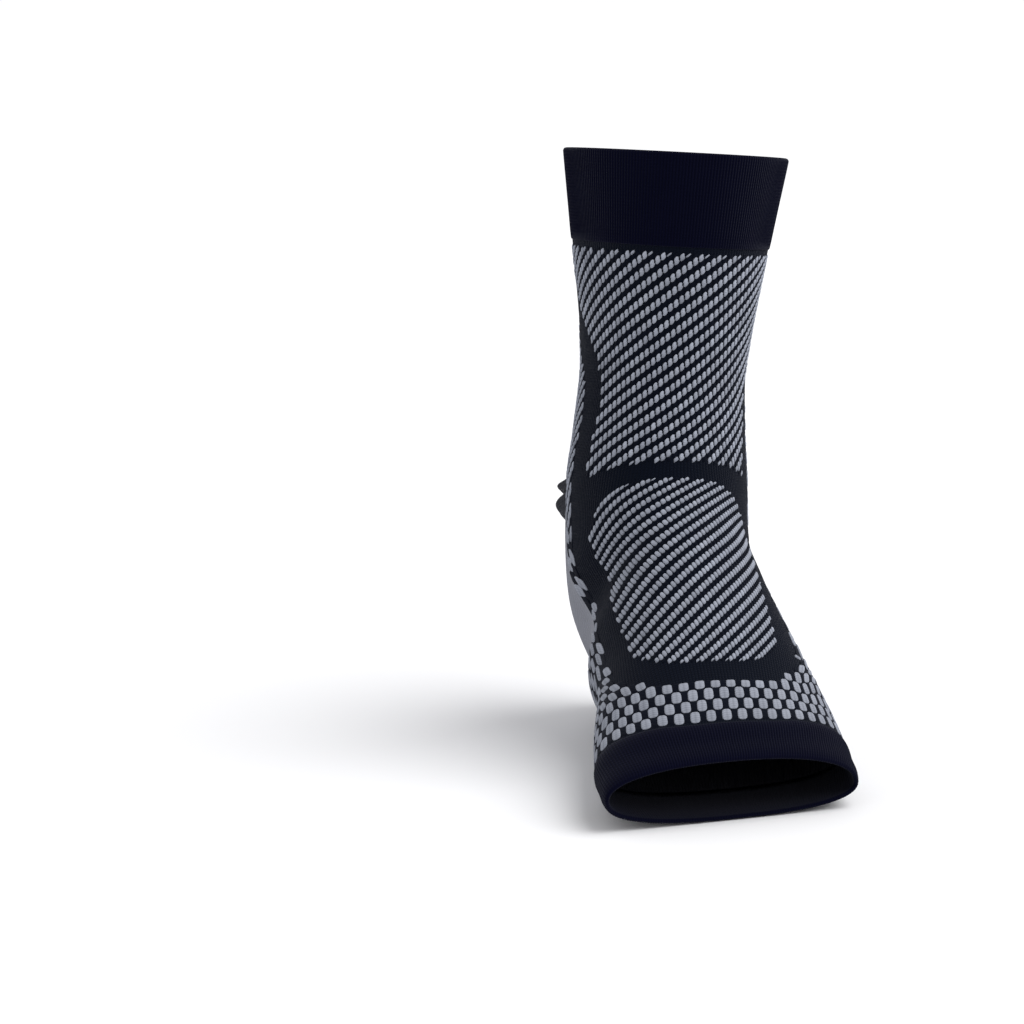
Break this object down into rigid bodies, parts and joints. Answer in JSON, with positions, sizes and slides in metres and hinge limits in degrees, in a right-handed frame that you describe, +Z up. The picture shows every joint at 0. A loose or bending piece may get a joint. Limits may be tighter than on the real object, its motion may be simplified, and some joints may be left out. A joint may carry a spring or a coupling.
{
  "type": "ankle compression sleeve",
  "caption": "Knitted ankle compression sleeve with an open toe, closed heel pocket, dark ankle frame with side arms, twill leg and ribbed cuffs, in its worn shape.",
  "frame": {"origin": "on the inside of the sole below the ankle, where the foot bears on the sleeve", "axes": "-Y towards the toes, +X towards the little toe's side, +Z up the leg"},
  "size_m": [0.105, 0.2032, 0.2378],
  "materials": {
    "black_knit": "matte ribbed knit",
    "twill_knit": "matte two-tone twill knit",
    "check_knit": "matte two-tone checked knit",
    "grey_knit": "matte plain knit"
  },
  "bodies": {
    "root": {"toe_cuff": "black_knit", "foot_sleeve": "check_knit", "ankle_frame": "black_knit", "instep_panel": "twill_knit", "heel_cup": "grey_knit", "heel_folds": "black_knit", "leg_sleeve": "twill_knit", "top_cuff": "black_knit"}
  },
  "joints": []
}
